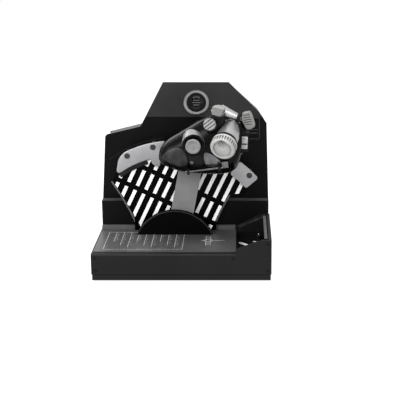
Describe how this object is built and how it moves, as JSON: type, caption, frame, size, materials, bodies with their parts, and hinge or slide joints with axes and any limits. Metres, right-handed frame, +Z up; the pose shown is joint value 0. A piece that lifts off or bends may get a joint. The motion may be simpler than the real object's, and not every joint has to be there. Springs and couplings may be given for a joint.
{
  "type": "throttle quadrant",
  "caption": "Desk throttle quadrant with a pivoting lever, a multi-control hand grip, striped quadrant plate and a round push button on its upright panel.",
  "frame": {"origin": "middle of the base on the surface it stands on", "axes": "+X right and forward thrust, +Y away from the user, +Z up"},
  "size_m": [0.23, 0.17, 0.234],
  "materials": {
    "black_steel": "powder-coated sheet steel, satin",
    "black_plastic": "moulded ABS, fine grain",
    "panel_grey": "screen-printed polycarbonate",
    "plate_black": "acrylic-faced plate",
    "stripe_white": "white inlay",
    "guard_grey": "bead-blasted",
    "arm_grey": "grey enamel",
    "grip_gloss": "polished phenolic",
    "silver": "satin silver lacquer",
    "knob_grey": "moulded light grey plastic",
    "rubber": "soft rubber",
    "cap_black": "moulded",
    "bare_steel": "ground",
    "black_screw": "black oxide",
    "bracket_alloy": "machined",
    "board_green": "solder mask"
  },
  "bodies": {
    "base": {"back_screws": "black_screw", "base_shell": "black_steel", "base_tray": "black_plastic", "bay_bars": "stripe_white", "bay_liner": "black_plastic", "bearing_blocks": "bracket_alloy", "bezel_nut": "bare_steel", "board_posts": "bracket_alloy", "button_bezel": "silver", "button_switch": "black_plastic", "data_inlet": "black_plastic", "foot_rail": "black_plastic", "front_screws": "black_screw", "guard_plate_left": "guard_grey", "guard_plate_right": "guard_grey", "guard_posts": "bare_steel", "guard_screws": "black_screw", "hub_cover": "black_plastic", "legend_panel": "panel_grey", "main_board": "board_green", "quadrant_plate": "plate_black", "rotary_encoder": "black_plastic", "rubber_feet": "rubber", "sensor_board": "board_green", "shaft_bearings": "bare_steel", "stripe_inlays": "stripe_white", "tower_back_cover": "black_plastic", "tower_fascia": "black_steel", "tower_housing": "black_plastic", "tray_screws": "black_screw", "wear_strip": "arm_grey"},
    "lever": {"lever_arm": "arm_grey", "pivot_shaft": "bare_steel", "sensor_magnet": "bare_steel", "grip_bracket": "black_plastic", "grip_screws": "black_screw", "grip_front": "grip_gloss", "grip_back": "grip_gloss", "cursor_pod": "silver", "cursor_ring": "black_plastic", "hat_pod": "black_plastic", "crown_base": "black_plastic", "range_pod": "silver", "range_gasket": "rubber", "speed_brake_pod": "silver", "slide_base": "black_plastic", "lift_ears": "black_plastic"},
    "push_button": {"button_cap": "cap_black"},
    "rotary": {"rotary_knob": "black_plastic"},
    "cursor_gimbal_body": {"cursor_gimbal": "bare_steel"},
    "cursor_stick": {"cursor_cap": "knob_grey"},
    "hat_gimbal_body": {"hat_gimbal": "bare_steel"},
    "hat_stick": {"hat_cap": "knob_grey"},
    "crown": {"crown_knob": "knob_grey"},
    "range_sleeve": {"range_carrier": "bare_steel"},
    "range_dial": {"range_knob": "knob_grey"},
    "speed_brake": {"speed_brake_paddle": "knob_grey"},
    "slide": {"slide_cap": "knob_grey"},
    "detent_lift": {"finger_lift": "knob_grey"}
  },
  "joints": [
    {"name": "throttle", "type": "hinge", "parent": "base", "child": "lever", "pos_m": [-0.013, 0, 0.015], "axis": [0, 1, 0], "range_deg": [-38, 24]},
    {"name": "push_button_press", "type": "slide", "parent": "base", "child": "push_button", "axis": [0, 0.9063, -0.4226], "range_m": [0, 0.002], "stiffness_N_per_m": 600, "springref_m": -0.002},
    {"name": "rotary_turn", "type": "hinge", "parent": "base", "child": "rotary", "pos_m": [0.1, 0.006, 0.028], "axis": [0, 0, 1], "range_deg": [-135, 135]},
    {"name": "cursor_tilt_y", "type": "hinge", "parent": "lever", "child": "cursor_gimbal_body", "pos_m": [0.01559, -0.0485, 0.17101], "axis": [0.9816, 0, -0.1908], "range_deg": [-10, 10], "stiffness_Nm_per_rad": 0.08},
    {"name": "cursor_tilt_x", "type": "hinge", "parent": "cursor_gimbal_body", "child": "cursor_stick", "pos_m": [0.01559, -0.0485, 0.17101], "axis": [0.1903, -0.0698, 0.9792], "range_deg": [-10, 10], "stiffness_Nm_per_rad": 0.08},
    {"name": "hat_tilt_y", "type": "hinge", "parent": "lever", "child": "hat_gimbal_body", "pos_m": [0.03755, -0.0427, 0.19486], "axis": [0.9482, -0.2588, -0.1843], "range_deg": [-10, 10], "stiffness_Nm_per_rad": 0.08},
    {"name": "hat_tilt_x", "type": "hinge", "parent": "hat_gimbal_body", "child": "hat_stick", "pos_m": [0.03755, -0.0427, 0.19486], "axis": [0.2662, 0.3304, 0.9055], "range_deg": [-10, 10], "stiffness_Nm_per_rad": 0.08},
    {"name": "crown_turn", "type": "hinge", "parent": "lever", "child": "crown", "pos_m": [0.04696, -0.036, 0.20556], "axis": [0.0645, -0.3214, 0.9447], "range_deg": [-140, 140]},
    {"name": "range_push", "type": "slide", "parent": "lever", "child": "range_sleeve", "axis": [0.2535, 0.8746, 0.4132], "range_m": [0, 0.0015], "stiffness_N_per_m": 900, "springref_m": -0.002},
    {"name": "range_turn", "type": "hinge", "parent": "range_sleeve", "child": "range_dial", "pos_m": [0.05615, -0.0546, 0.17525], "axis": [-0.2535, -0.8746, -0.4132], "range_deg": [-150, 150]},
    {"name": "speed_brake_rock", "type": "hinge", "parent": "lever", "child": "speed_brake", "pos_m": [0.07464, -0.025, 0.2012], "axis": [0.9272, 0, -0.3746], "range_deg": [-12, 12], "stiffness_Nm_per_rad": 0.12},
    {"name": "slide_switch", "type": "slide", "parent": "lever", "child": "slide", "axis": [0.0349, 0, 0.9994], "range_m": [-0.004, 0.004]},
    {"name": "detent_release", "type": "hinge", "parent": "lever", "child": "detent_lift", "pos_m": [0.00444, -0.0425, 0.13421], "axis": [0.9925, 0, 0.1219], "range_deg": [0, 18], "stiffness_Nm_per_rad": 0.06, "springref_deg": -8.59}
  ]
}
